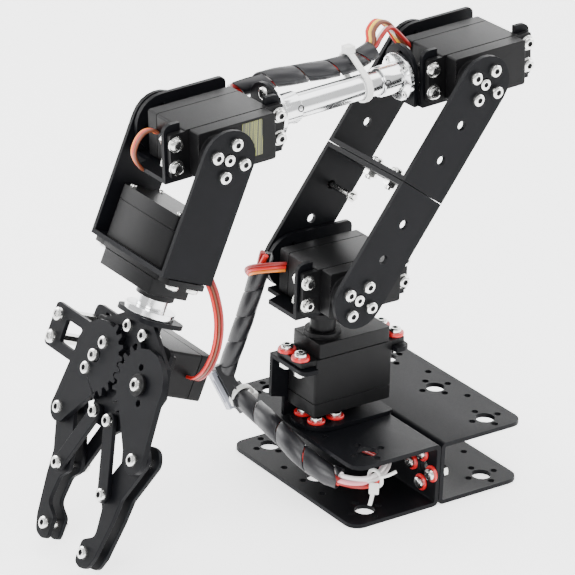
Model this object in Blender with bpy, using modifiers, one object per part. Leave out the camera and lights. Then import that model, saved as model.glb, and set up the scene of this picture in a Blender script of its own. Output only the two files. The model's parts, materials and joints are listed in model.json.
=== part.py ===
"""Desktop robot arm: two bent base channels, three pitch joints, a roll joint and a geared gripper.

Metres, +Z up, origin on the yaw axis at the level the base stands on. The arm reaches forward
along -Y and every pitch axis runs along X. Helper functions work in millimetres in a local
frame measured from the seam of the base channels, and scale to metres when a mesh is placed.
"""
import math

import bmesh
import bpy
from mathutils import Matrix, Vector

MM = 0.001
GAP = 0.3                 # clearance between pieces that rest on one another
SHEET = 2.0               # bracket sheet thickness

SEAM_Y = 31.5             # the seam between the channels from the yaw axis, where the origin is

# base channels
BASE_W = 92.0             # length along X
BASE_D = 45.0             # depth of each channel
BASE_H = 29.5
PAT_X = 35.5              # spacing of the hole patterns along X
PAT_Y = 31.5              # hole patterns from the seam
PCD_R = 7.0               # small holes sit on this radius
BORE_R = 4.4
HOLE_R = 1.6
WEB_X = 36.4
WEB_Z = 14.8

# servo case, measured from the top face of the case along the shaft (local x)
CASE_L = 40.4
CASE_W = 20.0
CASE_H = 34.0
SHAFT = 10.0              # shaft axis to the near end of the case
COVER_H = 6.2
GEARBOX_H = 6.8
CAP_IN = 1.7              # the upper case stops short of the ends of the case
ARM_HOLES = (-19.7, -36.5)  # holes along the arms of the two long forks
EAR_T = 2.4
EAR_LEN = 54.4
EAR_HOLE = 24.8           # half the spacing of the ear holes
BOSS_R = 8.0
BOSS_H = 2.4

# servo bracket
TAIL_GAP = 5.0            # case bottom to back plate
BR_HALF = 12.5            # half the bracket width
BR_LEN = 28.3             # half the overall length across the tabs
TAB_X = -10.0             # outer face of the tabs
BACK_X = -(CASE_H + TAIL_GAP + SHEET)

# forks, the long U brackets
FORK_IN = 7.6
FORK_FAR = BACK_X - 1.0
FORK_LEN = 51.75          # pivot to the outer face of the fork's base

# joints
CASE_TOP = 17.0           # X of the case tops on the pitch joints
YAW_Y = -31.5
SHOULDER = (-32.8, 96.0)
LEAN = 35.46              # upper arm from the vertical, degrees
ARM = 103.8
FORE = 128.0
FORE_TILT = 3.8
HAND_TILT = 21.5

# tube
TUBE_X = -22.0
TUBE_R = 5.4
TUBE_Z = -1.0             # tube axis below the pitch axis

# wrapped looms: the forearm's in the elbow frame, the base's in the world frame
LOOM_R = 4.2
TIE_Y = -40.5
TIE_LOOM = (-31.5, 6.3)
FORE_LOOM = ((-38.2, -95, 6.0), (-37.9, -88, 6.3), (-35.5, -76, 7.2), (-33.0, -60, 6.8),
             (-31.5, -50, 6.4), (-31.5, -40.5, 6.3), (-31.5, -33, 7.6), (-31.5, -28, 9.6))
BASE_LOOM_R = 4.6
BASE_LOOM = ((-36.0, -51.5, 34.0), (-24.0, -51.2, 31.8), (-12.0, -51.0, 29.6), (3.0, -51.0, 27.0),
             (13.0, -50.2, 23.6), (23.0, -46.5, 19.2), (31.0, -42.0, 17.4))

# gripper, in the hand frame (x across, y away from the wrist, z backwards)
ROLL_X = 10.2
GEAR_X = 16.5
GEAR_Y = 97.0
FINGER = 30.0
FINGER_DEG = 23.0
LINK_DX = 11.2
LINK_DY = 20.0
TEETH = 22
MODULE = 1.5

BLACK = ("black_metal", (0.012, 0.013, 0.016, 1), 0.7, 0.42)
PLASTIC = ("black_plastic", (0.014, 0.014, 0.016, 1), 0.0, 0.45)
STEEL = ("bright_steel", (0.62, 0.62, 0.60, 1), 1.0, 0.28)
ALU = ("polished_aluminium", (0.78, 0.79, 0.80, 1), 1.0, 0.22)
RED = ("red_rubber", (0.55, 0.015, 0.012, 1), 0.0, 0.55)
WRAP = ("black_wrap", (0.012, 0.012, 0.013, 1), 0.0, 0.5)
TIE = ("white_nylon", (0.80, 0.80, 0.78, 1), 0.0, 0.4)


def clear_scene():
    """Remove what the scene holds."""
    for ob in list(bpy.data.objects):
        bpy.data.objects.remove(ob, do_unlink=True)


def material(spec):
    """Return the Principled material for one colour."""
    name, colour, metallic, rough = spec
    mat = bpy.data.materials.get(name)
    if mat is None:
        mat = bpy.data.materials.new(name)
        mat.use_nodes = True
        node = mat.node_tree.nodes["Principled BSDF"]
        node.inputs["Base Color"].default_value = colour
        node.inputs["Metallic"].default_value = metallic
        node.inputs["Roughness"].default_value = rough
    return mat


def circle(cu, cv, r, n=12, turn=0.0):
    """Points of a circle."""
    step = 2 * math.pi / n
    return [(cu + r * math.cos(i * step + turn), cv + r * math.sin(i * step + turn)) for i in range(n)]


def corner(cu, cv, r, a0, a1, n):
    """Points of an arc from angle a0 to a1 in degrees."""
    pts = []
    for i in range(n + 1):
        a = math.radians(a0 + (a1 - a0) * i / n)
        pts.append((cu + r * math.cos(a), cv + r * math.sin(a)))
    return pts


def slab(u0, u1, v0, v1, r=(0, 0, 0, 0), n=4):
    """Rectangle with its own radius at each corner: lower left, lower right, upper right, upper left."""
    pts = []
    spots = ((u0, v0, 1, 1, 180), (u1, v0, -1, 1, 270), (u1, v1, -1, -1, 0), (u0, v1, 1, -1, 90))
    for (cu, cv, su, sv, a), rad in zip(spots, r):
        if rad:
            pts += corner(cu + su * rad, cv + sv * rad, rad, a, a + 90, n)
        else:
            pts.append((cu, cv))
    return pts


def hull(c0, r0, c1, r1, n=10):
    """Outline round two circles, the shape of a link."""
    dx, dy = c1[0] - c0[0], c1[1] - c0[1]
    length = math.hypot(dx, dy)
    base = math.degrees(math.atan2(dy, dx))
    spread = math.degrees(math.acos((r0 - r1) / length))
    pts = corner(c1[0], c1[1], r1, base - spread, base + spread, n)
    pts += corner(c0[0], c0[1], r0, base + spread, base + 360 - spread, n)
    return pts


def pattern(cu, cv, bore=BORE_R, r=PCD_R, turn=0.0, small=HOLE_R):
    """A large hole with four small ones round it."""
    holes = [circle(cu, cv, bore, 14)] if bore else []
    for k in range(4):
        a = math.radians(turn + 90 * k)
        holes.append(circle(cu + r * math.cos(a), cv + r * math.sin(a), small, 8))
    return holes


FACES = {
    "x": Matrix(((0, 0, 1, 0), (1, 0, 0, 0), (0, 1, 0, 0), (0, 0, 0, 1))),
    "y": Matrix(((0, 1, 0, 0), (0, 0, 1, 0), (1, 0, 0, 0), (0, 0, 0, 1))),
    "z": Matrix.Identity(4),
}


def scaled(frame):
    """A frame in millimetres from the seam as a matrix in metres from the yaw axis."""
    return Matrix.Scale(MM, 4) @ Matrix.Translation((0, SEAM_Y, 0)) @ frame


def tidy(me, dist=0.001):
    """Weld doubles and face the normals outwards; the distance is in the mesh's own units."""
    bm = bmesh.new()
    bm.from_mesh(me)
    bmesh.ops.remove_doubles(bm, verts=bm.verts, dist=dist)
    bmesh.ops.recalc_face_normals(bm, faces=bm.faces)
    bm.to_mesh(me)
    bm.free()


def plate(face, outline, w0, w1, holes=()):
    """Flat piece of a given outline between two levels along the face's normal."""
    cu = bpy.data.curves.new("outline", "CURVE")
    cu.dimensions = "2D"
    cu.fill_mode = "BOTH"
    cu.extrude = (w1 - w0) / 2
    for loop in [outline] + list(holes):
        sp = cu.splines.new("POLY")
        sp.points.add(len(loop) - 1)
        for p, (u, v) in zip(sp.points, loop):
            p.co = (u, v, 0, 1)
        sp.use_cyclic_u = True
    ob = bpy.data.objects.new("outline", cu)
    bpy.context.scene.collection.objects.link(ob)
    dep = bpy.context.evaluated_depsgraph_get()
    me = bpy.data.meshes.new_from_object(ob.evaluated_get(dep))
    bpy.data.objects.remove(ob, do_unlink=True)
    bpy.data.curves.remove(cu)
    me.transform(FACES[face] @ Matrix.Translation((0, 0, (w0 + w1) / 2)))
    tidy(me)
    return me


def turned(face, cu, cv, profile, n=12):
    """Solid of revolution about the face's normal through (cu, cv); profile is (radius, level)."""
    if profile[0][1] < profile[-1][1] or profile[0] == profile[-1]:
        profile = profile[::-1]
    me = bpy.data.meshes.new("profile")
    edges = [(i, i + 1) for i in range(len(profile) - 1)]
    me.from_pydata([(r, 0, w) for r, w in profile], edges, [])
    ob = bpy.data.objects.new("profile", me)
    bpy.context.scene.collection.objects.link(ob)
    mod = ob.modifiers.new("turn", "SCREW")
    mod.axis = "Z"
    mod.steps = n
    mod.render_steps = n
    mod.use_merge_vertices = True
    mod.merge_threshold = 0.0001
    dep = bpy.context.evaluated_depsgraph_get()
    out = bpy.data.meshes.new_from_object(ob.evaluated_get(dep))
    bpy.data.objects.remove(ob, do_unlink=True)
    bpy.data.meshes.remove(me)
    out.transform(FACES[face] @ Matrix.Translation((cu, cv, 0)))
    tidy(out)
    return out


def rod(face, cu, cv, r, w0, w1, n=12):
    """Plain round bar."""
    return turned(face, cu, cv, [(0, w0), (r, w0), (r, w1), (0, w1)], n)


def screw(face, cu, cv, under, length, up=1):
    """Pan-head screw whose head stands on the level 'under' and points to +face or -face."""
    w = under + up * 0.15
    prof = [(0, w + up * 1.9), (2.0, w + up * 1.9), (2.75, w + up), (2.75, w), (1.3, w)]
    prof += [(1.3, w - up * length), (0, w - up * length)]
    return turned(face, cu, cv, prof, 8)


def bolt(face, cu, cv, under, grip, up=1, washer=0.0):
    """Screw, optional washer under its head, and the nut behind what it clamps, locked in one piece."""
    w = under + up * 0.15
    h = w + up * washer
    far = under - up * (grip + 0.15)
    prof = [(0, h + up * 1.9), (2.0, h + up * 1.9), (2.75, h + up), (2.75, h)]
    if washer:
        prof += [(3.8, h), (3.8, w)]
    prof += [(1.3, w), (1.3, far), (2.9, far), (2.9, far - up * 2.4), (0, far - up * 2.4)]
    return turned(face, cu, cv, prof, 10)


def combine(first, others, operation):
    """Boolean of one mesh with each of the others in turn."""
    base = bpy.data.objects.new("combine", first)
    bpy.context.scene.collection.objects.link(base)
    tools = []
    for me in others:
        ob = bpy.data.objects.new("combine_tool", me)
        bpy.context.scene.collection.objects.link(ob)
        mod = base.modifiers.new("combine", "BOOLEAN")
        mod.operation = operation
        mod.solver = "EXACT"
        mod.object = ob
        tools.append(ob)
    dep = bpy.context.evaluated_depsgraph_get()
    out = bpy.data.meshes.new_from_object(base.evaluated_get(dep))
    for ob in tools + [base]:
        me = ob.data
        bpy.data.objects.remove(ob, do_unlink=True)
        bpy.data.meshes.remove(me)
    tidy(out)
    return out


def fused(meshes):
    """One body made of overlapping pieces."""
    return combine(meshes[0], meshes[1:], "UNION")


class Body:
    """A moving group: an empty on its joint axis and the pieces that ride on it."""

    def __init__(self, coll, name, at, parent=None):
        self.coll = coll
        self.matrix = Matrix.Translation((Vector(at) + Vector((0, SEAM_Y, 0))) * MM)
        self.empty = bpy.data.objects.new(name + "_joint", None)
        self.empty.empty_display_size = 0.01
        coll.objects.link(self.empty)
        if parent:
            self.empty.parent = parent.empty
            self.empty.matrix_parent_inverse = parent.matrix.inverted()
        self.empty.matrix_world = self.matrix
        self.empty.location = self.matrix.translation

    def add(self, frame, name, me, spec, smooth=None):
        """Put a mesh made in millimetres in its frame, name and colour it, and hang it on this body."""
        me.name = name
        me.transform(scaled(frame))
        ob = bpy.data.objects.new(name, me)
        me.materials.clear()
        me.materials.append(material(spec))
        self.coll.objects.link(ob)
        ob.parent = self.empty
        ob.matrix_parent_inverse = self.matrix.inverted()
        for poly in me.polygons:
            poly.use_smooth = smooth is not None
        if smooth is not None:
            me.set_sharp_from_angle(angle=math.radians(smooth))
        return ob


def servo_case():
    """Middle and bottom of the case with its ears; a groove marks the bottom cover's seam."""
    mid = CASE_L / 2 - SHAFT
    top = -GEARBOX_H - 0.3
    seam = -CASE_H + COVER_H
    ears = [circle(mid + s * EAR_HOLE, t * 5, 1.9, 8) for s in (-1, 1) for t in (-1, 1)]
    body = slab(-SHAFT, CASE_L - SHAFT, -10, 10, (1, 1, 1, 1), 2)
    neck = slab(-SHAFT + 0.4, CASE_L - SHAFT - 0.4, -9.6, 9.6, (1, 1, 1, 1), 2)
    box = plate("x", body, seam + 0.2, top)
    flange = plate("x", slab(mid - EAR_LEN / 2, mid + EAR_LEN / 2, -9.4, 9.4, (1, 1, 1, 1), 2),
                   top - EAR_T, top, ears)
    cover = plate("x", body, -CASE_H, seam - 0.2)
    core = plate("x", neck, seam - 2, seam + 2)
    return fused([box, flange, cover, core])


def servo_gearbox():
    """Upper case with the round boss at the shaft."""
    box = plate("x", slab(CAP_IN - SHAFT, CASE_L - SHAFT - CAP_IN, -10, 10, (1, 1, 1, 1), 2), -GEARBOX_H, 0)
    boss = rod("x", 0, 0, BOSS_R, -1, BOSS_H, 20)
    return fused([box, boss])


def servo_horn(disc, rim=10.2, thick=2.2, collar=4.6):
    """Splined collar and disc on the shaft."""
    prof = [(0, BOSS_H + 0.3), (collar, BOSS_H + 0.3), (collar, disc - thick), (rim, disc - thick)]
    prof += [(rim, disc), (0, disc)]
    return turned("x", 0, 0, prof, 20)


def fork_horn():
    """Servo horn with the four screws that hold the fork on it and the shaft's centre screw."""
    level = FORK_IN + SHEET
    parts = [servo_horn(FORK_IN - GAP)]
    for k in range(4):
        a = k * math.pi / 2
        parts.append(screw("x", PCD_R * math.cos(a), PCD_R * math.sin(a), level, SHEET + 1.5))
    parts.append(turned("x", 0, 0, [(0, 9.9), (1.8, 9.9), (2.6, 9.0), (2.6, 6.8), (0, 6.8)], 10))
    return fused(parts)


def servo_bracket(side=1, plate_holes=()):
    """C-shaped bracket: side plate, two tabs for the ears, and the back plate with the pivot hole."""
    mid = CASE_L / 2 - SHAFT
    y0, y1 = mid - BR_LEN, mid + BR_LEN
    z0, z1 = -BR_HALF, BR_HALF
    wall = sorted((-side * BR_HALF, -side * (BR_HALF - SHEET)))
    step = -30.0
    out = [(BACK_X, -11.0), (step - 2, -11.0), (step, y0), (TAB_X, y0), (TAB_X, y1), (step, y1),
           (step - 2, 31.0), (BACK_X, 31.0)]
    skin = plate("z", out, wall[0], wall[1], plate_holes)
    parts = [skin]
    free = 3.5
    for a, b, near in ((y0, -SHAFT - 0.4, 0), (CASE_L - SHAFT + 0.4, y1, 1)):
        rad = [0, 0, 0, 0]
        if side > 0:
            rad[2 if near else 3] = free
        else:
            rad[1 if near else 0] = free
        hole = mid + (EAR_HOLE if near else -EAR_HOLE)
        parts.append(plate("x", slab(a, b, z0, z1, rad), TAB_X - SHEET, TAB_X,
                           [circle(hole, t * 5, 1.6, 8) for t in (-1, 1)]))
    back = corner(0, 0, BR_HALF, 90, 270, 12)
    back += slab(0, 31.0, z0, z1, (0, 2.5, 2.5, 0), 3)[1:-1]
    parts.append(plate("x", back, BACK_X, BACK_X + SHEET,
                       [circle(0, 0, 2.2, 12)] + pattern(0, 0, 0) + [circle(21, 0, 2.0, 10)]))
    return fused(parts)


def pivot_bolt():
    """Shoulder bolt through the back plate that carries the fork's far arm."""
    a = BACK_X + SHEET + 0.15
    b = BACK_X - 0.15
    c = FORK_FAR - SHEET - 0.15
    prof = [(0, a + 2.0), (3.4, a + 2.0), (3.4, a), (1.9, a), (1.9, b), (3.6, b), (3.6, b - 0.7)]
    prof += [(1.9, b - 0.7), (1.9, c), (3.6, c), (3.6, c - 2.6), (0, c - 2.6)]
    return turned("x", 0, 0, prof, 12)


def fork(base_holes, arm_holes=()):
    """Long U bracket: two arms rounded about the pivot and the base that joins them (towards -z)."""
    reach = -FORK_LEN
    arm = corner(0, 0, BR_HALF, 0, 180, 12) + [(-BR_HALF, reach), (BR_HALF, reach)]
    along = [circle(0, z, 2.1, 10) for z in arm_holes]
    near = plate("x", arm, FORK_IN, FORK_IN + SHEET, pattern(0, 0, 3.0) + along)
    far = plate("x", arm, FORK_FAR - SHEET, FORK_FAR, [circle(0, 0, 2.15, 12)] + along)
    base = plate("z", slab(FORK_FAR - SHEET, FORK_IN + SHEET, -BR_HALF, BR_HALF),
                 reach, reach + SHEET, base_holes)
    return fused([near, far, base])


def bent_channel(side):
    """U section of the channel, longer and deeper than needed, its web on the seam side."""
    a, b, deep = 0.15, SHEET + 0.15, BASE_D + 5
    out = [(deep, 0)] + corner(a + 2.4, 2.4, 2.4, 270, 180, 3)
    out += corner(a + 2.4, BASE_H - 2.4, 2.4, 180, 90, 3) + [(deep, BASE_H), (deep, BASE_H - SHEET)]
    out += corner(b + 0.6, BASE_H - SHEET - 0.6, 0.6, 90, 180, 2)
    out += corner(b + 0.6, SHEET + 0.6, 0.6, 180, 270, 2) + [(deep, SHEET)]
    return plate("x", [(side * y, z) for y, z in out], -BASE_W, BASE_W)


def channel(side):
    """One base channel: top and bottom plates on a web, opening away from the seam."""
    half = BASE_W / 2
    lo, hi = sorted((-side * 3.0, side * BASE_D))
    outer = (6, 6, 0, 0) if side < 0 else (0, 0, 6, 6)
    holes = []
    for k in (-1, 0, 1):
        holes += pattern(k * PAT_X, side * PAT_Y)
    holes += [circle(s * 14.2, side * 38.5, HOLE_R, 8) for s in (-1, 1)]
    shape = plate("z", slab(-half, half, lo, hi, outer), -3, BASE_H + 3, holes)
    drills = []
    for k in (-1, 1):
        for loop in pattern(WEB_Z, k * WEB_X):
            drills.append(plate("y", loop, *sorted((-side, side * (SHEET + 1)))))
    return combine(combine(bent_channel(side), [shape], "INTERSECT"), drills, "DIFFERENCE")


def build_base(coll):
    """Everything that stands still."""
    body = Body(coll, "base", (0, 0, 0))
    f = Matrix.Identity(4)
    body.add(f, "front_base_channel", channel(-1), BLACK)
    body.add(f, "rear_base_channel", channel(1), BLACK)
    for q, name in enumerate(("top", "outer", "bottom", "inner")):
        a = math.radians(90 * q)
        z, x = WEB_Z + PCD_R * math.cos(a), WEB_X + PCD_R * math.sin(a)
        me = bolt("y", z, x, -SHEET - 0.15, 2 * SHEET + 0.3, -1, 1.0)
        body.add(f, "base_web_bolt_" + name, me, RED, 30)
    case_top = BASE_H + GAP - BACK_X
    g = Matrix(((0, 0, -1, 0), (0, 1, 0, YAW_Y), (1, 0, 0, case_top), (0, 0, 0, 1)))
    body.add(g, "base_servo_bracket", servo_bracket(-1), BLACK)
    body.add(g, "base_servo_case", servo_case(), PLASTIC)
    body.add(g, "base_servo_gearbox", servo_gearbox(), PLASTIC)
    body.add(f, "base_loom", loom(BASE_LOOM, BASE_LOOM_R), WRAP, 60)
    return body, case_top


def joint_frame(y, z, tilt):
    """Local frame of a pitch joint, its origin on the case top."""
    return Matrix.Translation((CASE_TOP, y, z)) @ Matrix.Rotation(math.radians(tilt), 4, "X")


def build_turret(coll, base, case_top):
    """Shoulder bracket and servo on the yaw shaft."""
    body = Body(coll, "turret", (0, YAW_Y, case_top), base)
    y, z = SHOULDER
    seat = z - BR_HALF
    up = Matrix.Translation((0, YAW_Y, 0))
    prof = [(0, case_top + BOSS_H + 0.3), (5.6, case_top + BOSS_H + 0.3), (5.6, seat - 2.8)]
    prof += [(10.2, seat - 2.8), (10.2, seat - GAP), (0, seat - GAP)]
    body.add(up, "turret_horn", turned("z", 0, 0, prof, 24), ALU, 30)
    f = joint_frame(y, z, 0)
    dy = YAW_Y - y
    seats = [circle(-CASE_TOP, dy, 3.0, 12)]
    seats += [circle(-CASE_TOP + s * 4.95, dy + t * 4.95, HOLE_R, 8) for s in (-1, 1) for t in (-1, 1)]
    body.add(f, "shoulder_bracket", servo_bracket(1, seats), BLACK)
    body.add(f, "shoulder_servo_case", servo_case(), PLASTIC)
    body.add(f, "shoulder_servo_gearbox", servo_gearbox(), PLASTIC)
    body.add(f, "shoulder_pivot", pivot_bolt(), STEEL, 30)
    return body


def build_upper_arm(coll, turret, elbow):
    """The two forks bolted base to base, with a horn at each end."""
    y, z = SHOULDER
    body = Body(coll, "upper_arm", (CASE_TOP, y, z), turret)
    f = joint_frame(y, z, 0)
    low = f @ Matrix.Rotation(math.radians(180 - LEAN), 4, "X")
    e = joint_frame(elbow[0], elbow[1], 0)
    high = e @ Matrix.Rotation(math.radians(-LEAN), 4, "X")
    mid = (FORK_IN + FORK_FAR) / 2
    body.add(low, "shoulder_horn", fork_horn(), ALU, 30)
    body.add(low, "lower_arm_fork", fork(pattern(mid, 0), ARM_HOLES), BLACK)
    body.add(high, "upper_arm_fork", fork(pattern(mid, 0), ARM_HOLES), BLACK)
    body.add(high, "elbow_horn", fork_horn(), ALU, 30)
    for s, name in ((-1, "far"), (1, "near")):
        me = bolt("z", mid + s * PCD_R, 0, -FORK_LEN + SHEET, 2 * SHEET + GAP, 1)
        body.add(high, "arm_joining_bolt_" + name, me, STEEL, 30)
    body.add(low, "arm_side_bolt", screw("x", 0, -36.5, FORK_FAR - SHEET, 17.0, up=-1), STEEL, 30)
    return body


def end_plate(y0, sign):
    """Rounded plate standing on the bracket end that carries the tube flange."""
    lo, hi = sorted((y0, y0 + sign * SHEET))
    out = slab(-BR_HALF, BR_HALF, TUBE_X - 11.0, TUBE_X + 9.4, (0, 9.5, 9.5, 0), 5)
    holes = [circle(TUBE_Z, TUBE_X, 3.2, 12), circle(8.6, TUBE_X, HOLE_R, 8)]
    return plate("y", out, lo, hi, holes)


def flange(y0, sign):
    """Round flange with a hub for the tube."""
    prof = [(TUBE_R + 0.25, y0), (10.4, y0), (10.4, y0 + sign * 2.0), (6.6, y0 + sign * 2.4)]
    prof += [(6.6, y0 + sign * 12.0), (TUBE_R + 0.25, y0 + sign * 12.0), (TUBE_R + 0.25, y0)]
    return turned("y", TUBE_Z, TUBE_X, prof, 20)


def smooth_line(route, gap):
    """Points every 'gap' along a smooth curve through the route."""
    pts = [Vector(p) for p in route]
    ext = [pts[0] * 2 - pts[1]] + pts + [pts[-1] * 2 - pts[-2]]
    line = [pts[0]]
    for i in range(1, len(ext) - 2):
        p0, p1, p2, p3 = ext[i - 1:i + 3]
        for k in range(1, 21):
            t = k / 20
            p = 0.5 * ((2 * p1) + (p2 - p0) * t + (2 * p0 - 5 * p1 + 4 * p2 - p3) * t * t
                       + (3 * p1 - p0 - 3 * p2 + p3) * t * t * t)
            if (p - line[-1]).length >= gap:
                line.append(p)
    return line


def loom(route, radius):
    """Wrapped cable bundle along a smooth route."""
    line = smooth_line(route, 5.0)
    cu = bpy.data.curves.new("loom", "CURVE")
    cu.dimensions = "3D"
    cu.bevel_depth = radius
    cu.bevel_resolution = 3
    cu.use_fill_caps = True
    sp = cu.splines.new("POLY")
    sp.points.add(len(line) - 1)
    for p, co in zip(sp.points, line):
        p.co = (co.x, co.y, co.z, 1)
    ob = bpy.data.objects.new("loom", cu)
    bpy.context.scene.collection.objects.link(ob)
    dep = bpy.context.evaluated_depsgraph_get()
    me = bpy.data.meshes.new_from_object(ob.evaluated_get(dep))
    bpy.data.objects.remove(ob, do_unlink=True)
    bpy.data.curves.remove(cu)
    tidy(me)
    return me


def cable_tie():
    """Nylon band round the tube and the loom, with its lock block on top."""
    c0, c1 = (TUBE_Z, TUBE_X), (TIE_LOOM[1], TIE_LOOM[0])
    inner = hull(c0, TUBE_R + 0.3, c1, LOOM_R + 0.4, 8)
    outer = hull(c0, TUBE_R + 1.3, c1, LOOM_R + 1.4, 8)
    band = plate("y", outer, TIE_Y - 1.3, TIE_Y + 1.3, [inner])
    z, x = c1[0] + LOOM_R + 0.9, c1[1]
    block = plate("y", slab(z, z + 3.0, x - 2.0, x + 2.2), TIE_Y - 2.1, TIE_Y + 2.1)
    return fused([band, block])


def build_forearm(coll, upper, elbow, wrist):
    """Elbow and wrist brackets joined by the tube."""
    body = Body(coll, "forearm", (CASE_TOP, elbow[0], elbow[1]), upper)
    e = joint_frame(elbow[0], elbow[1], FORE_TILT)
    w = joint_frame(wrist[0], wrist[1], FORE_TILT)
    mid = CASE_L / 2 - SHAFT
    ea = mid - BR_LEN - GAP
    wa = mid + BR_LEN + GAP
    for name, f in (("elbow", e), ("wrist", w)):
        body.add(f, name + "_bracket", servo_bracket(1, [circle(-20, mid, 3.0, 12)]), BLACK)
        body.add(f, name + "_servo_case", servo_case(), PLASTIC)
        body.add(f, name + "_servo_gearbox", servo_gearbox(), PLASTIC)
        body.add(f, name + "_pivot", pivot_bolt(), STEEL, 30)
    body.add(e, "elbow_end_plate", end_plate(ea, -1), BLACK)
    body.add(w, "wrist_end_plate", end_plate(wa, 1), BLACK)
    fa = ea - SHEET - GAP
    fb = wa + SHEET + GAP
    body.add(e, "elbow_flange", flange(fa, -1), ALU, 30)
    body.add(w, "wrist_flange", flange(fb, 1), ALU, 30)
    tube = [(TUBE_R, -(FORE - fb) + 0.4), (TUBE_R, fa - 0.4), (TUBE_R - 1.0, fa - 0.4)]
    tube += [(TUBE_R - 1.0, -(FORE - fb) + 0.4), (TUBE_R, -(FORE - fb) + 0.4)]
    body.add(e, "forearm_tube", turned("y", TUBE_Z, TUBE_X, tube, 20), ALU, 30)
    body.add(e, "forearm_loom", loom(FORE_LOOM, LOOM_R), WRAP, 60)
    body.add(e, "forearm_cable_tie", cable_tie(), TIE)
    return body


def build_wrist(coll, fore, wrist):
    """Fork that hangs from the wrist servo and holds the roll servo."""
    body = Body(coll, "wrist", (CASE_TOP, wrist[0], wrist[1]), fore)
    f = joint_frame(wrist[0], wrist[1], 0) @ Matrix.Rotation(math.radians(-HAND_TILT), 4, "X")
    mid = (FORK_IN + FORK_FAR) / 2
    shift = ROLL_X - CASE_TOP
    half = CASE_L / 2 + 0.4
    cx = shift + SHAFT - CASE_L / 2
    opening = slab(cx - half, cx + half, -10.4, 10.4)
    body.add(f, "wrist_fork", fork([opening]), BLACK)
    body.add(f, "wrist_horn", fork_horn(), ALU, 30)
    return body, f, shift


def roll_frame(f, shift):
    """Frame of the roll servo: shaft away from the wrist, case towards -X."""
    top = -(FORK_LEN + GAP + EAR_T + GEARBOX_H + 0.3)
    m = Matrix(((0, -1, 0, shift), (0, 0, 1, 0), (-1, 0, 0, top), (0, 0, 0, 1)))
    return f @ m, top


def build_roll(body, f, shift):
    """Roll servo in the opening of the wrist fork."""
    r, top = roll_frame(f, shift)
    body.add(r, "roll_servo_case", servo_case(), PLASTIC)
    body.add(r, "roll_servo_gearbox", servo_gearbox(), PLASTIC)
    return r, top


def hand_frame(wrist):
    """Hand frame: x across, y away from the wrist, z backwards, origin on the wrist axis."""
    t = math.radians(HAND_TILT)
    c, s = math.cos(t), math.sin(t)
    return Matrix(((1, 0, 0, ROLL_X), (0, -s, c, wrist[0]), (0, -c, -s, wrist[1]), (0, 0, 0, 1)))


def gear_sector(side, z0, z1):
    """Finger arm with its toothed head, centred on its own shaft."""
    cx, cy = side * GEAR_X, GEAR_Y
    pitch = TEETH * MODULE / 2
    root, tip = pitch - 1.55, pitch + 1.15
    phase = 0.0 if side < 0 else 0.5
    step = 360.0 / TEETH
    face = 0.0 if side < 0 else 180.0
    pts = []
    for k in range(-4, 5):
        a = face + (k + phase) * step
        if side > 0 and k == 4:
            break
        for da, r in ((-5.6, root), (-2.3, tip), (2.3, tip), (5.6, root)):
            t = math.radians(a + da)
            pts.append((cx + r * math.cos(t), cy + r * math.sin(t)))
    end = (cx + side * FINGER * math.sin(math.radians(FINGER_DEG)),
           cy + FINGER * math.cos(math.radians(FINGER_DEG)))
    ang = math.degrees(math.atan2(end[1] - cy, end[0] - cx)) % 360
    a_last = (face + (4 + (0 if side < 0 else -1) + phase) * step + 5.6)
    a_first = (face + (-4 + phase) * step - 5.6) % 360
    if side < 0:
        head = corner(cx, cy, root, a_last, ang - 55, 3)[1:]
        tail = corner(cx, cy, root, ang + 55, 360 + a_first - 360, 6)
    else:
        head = corner(cx, cy, root, a_last, 360 + ang - 55, 6)[1:]
        tail = corner(cx, cy, root, ang + 55, a_first, 3)
    arc = corner(end[0], end[1], 6.0, ang - 90, ang + 90, 8)
    outline = pts + head + arc + tail[:-1]
    bore = 2.9 if side < 0 else 3.5
    holes = [circle(cx, cy, bore, 12), circle(end[0], end[1], 1.7, 8)]
    holes += [circle(cx + s * 7.2 * math.cos(math.radians(ang)), cy + s * 7.2 * math.sin(math.radians(ang)),
                     1.5, 8) for s in (-1, 1)]
    return plate("z", outline, z0, z1, holes)


def fingertip_outline(side, end, link_end):
    """Outline of a fingertip plate: two pivots, a straight bar and the gripping head."""
    ex, ey = end
    lx, ly = link_end
    s = side
    pts = [(ex + s * 6.0, ey), (ex + s * 4.2, ey - 4.2), (ex, ey - 6.0), (ex - s * 4.2, ey - 4.2)]
    pts += [(ex - s * 6.0, ey + 0.5), (lx - s * 3.2, ly - 4.2), (lx - s * 5.0, ly), (lx - s * 3.4, ly + 3.8)]
    pts += [(lx + s * 1.8, ly + 6.0), (lx + s * 1.0, ly + 18.0), (lx - s * 5.6, ly + 21.5)]
    pts += [(lx - s * 6.2, ly + 24.5), (lx - s * 6.2, ly + 30.5), (lx - s * 3.6, ly + 32.4)]
    pts += [(lx + s * 1.5, ly + 31.5), (lx + s * 4.8, ly + 27.0), (lx + s * 7.4, ly + 12.0)]
    pts += [(lx + s * 8.8, ly - 2.0)]
    return pts if s < 0 else pts[::-1]


def pin(cx, cy, z0, z1, spacers=()):
    """Pivot screw: head in front of z0, nut behind z1, with optional thicker lengths between."""
    r = 1.4
    prof = [(0, z0 - 2.0), (2.0, z0 - 2.0), (2.75, z0 - 1.1), (2.75, z0 - 0.15), (r, z0 - 0.15)]
    for a, b, rad in spacers:
        prof += [(r, a), (rad, a), (rad, b), (r, b)]
    prof += [(r, z1 + 0.15), (2.9, z1 + 0.15), (2.9, z1 + 2.4), (0, z1 + 2.4)]
    return turned("z", cx, cy, prof, 8)


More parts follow.
